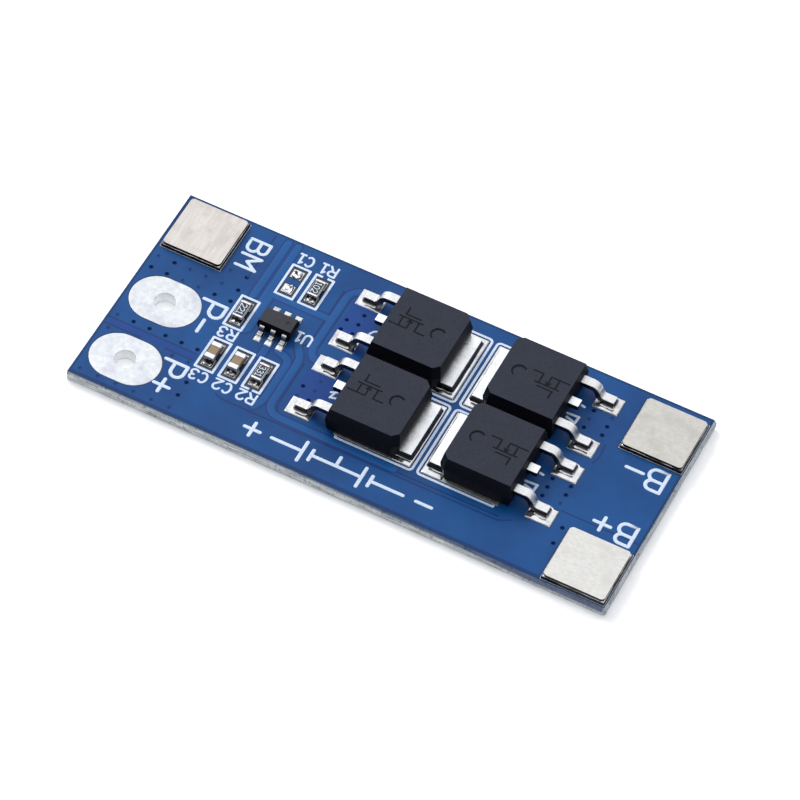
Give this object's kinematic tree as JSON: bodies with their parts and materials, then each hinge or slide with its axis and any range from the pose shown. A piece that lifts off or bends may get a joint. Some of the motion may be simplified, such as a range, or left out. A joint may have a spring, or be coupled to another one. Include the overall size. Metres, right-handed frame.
{
  "type": "battery management board",
  "caption": "Flat blue circuit board that protects a small battery pack, with power transistors, nickel cell tabs and plated output holes.",
  "frame": {"origin": "centre of the board's underside", "axes": "+X along the board towards the cell tabs, +Y towards the back edge, +Z out of the component side"},
  "size_m": [0.0454, 0.02, 0.0034],
  "materials": {
    "laminate": "glass-epoxy laminate, rough where it was snapped along the score",
    "solder_mask": "glossy blue solder mask",
    "legend": "printed white legend",
    "tinned_copper": "copper with a hot-levelled tin finish",
    "nickel": "rolled nickel, fine lengthwise grain",
    "solder": "bright reflowed solder",
    "mould_compound": "black moulding compound, fine matt",
    "lead_frame": "copper lead frame with matt tin plating",
    "silicon": "sawn silicon",
    "alumina": "white alumina",
    "overglaze": "black glaze",
    "end_metal": "tinned end metal",
    "capacitor_ceramic": "tan dielectric ceramic"
  },
  "bodies": {
    "root": {"laminate": "laminate", "solder_mask": "solder_mask", "legend_ink": "legend", "terminal_p_plus": "tinned_copper", "terminal_p_minus": "tinned_copper", "copper_lands": "tinned_copper", "tab_b_plus": "nickel", "tab_b_minus": "nickel", "tab_b_middle": "nickel", "tab_solder": "solder", "q1_body": "mould_compound", "q1_drain_tab": "lead_frame", "q1_gate_lead": "lead_frame", "q1_source_lead": "lead_frame", "q1_die": "silicon", "q2_body": "mould_compound", "q2_drain_tab": "lead_frame", "q2_gate_lead": "lead_frame", "q2_source_lead": "lead_frame", "q2_die": "silicon", "q3_body": "mould_compound", "q3_drain_tab": "lead_frame", "q3_gate_lead": "lead_frame", "q3_source_lead": "lead_frame", "q3_die": "silicon", "q4_body": "mould_compound", "q4_drain_tab": "lead_frame", "q4_gate_lead": "lead_frame", "q4_source_lead": "lead_frame", "q4_die": "silicon", "transistor_solder": "solder", "u1_body": "mould_compound", "u1_pins": "lead_frame", "u1_die": "silicon", "u1_solder": "solder", "r1_core": "alumina", "r1_film": "overglaze", "r1_end_caps": "end_metal", "r2_core": "alumina", "r2_film": "overglaze", "r2_end_caps": "end_metal", "r3_core": "alumina", "r3_film": "overglaze", "r3_end_caps": "end_metal", "c2_block": "capacitor_ceramic", "c2_end_caps": "end_metal", "c3_block": "capacitor_ceramic", "c3_end_caps": "end_metal", "small_part_solder": "solder", "c1_bare_solder": "solder"}
  },
  "joints": []
}
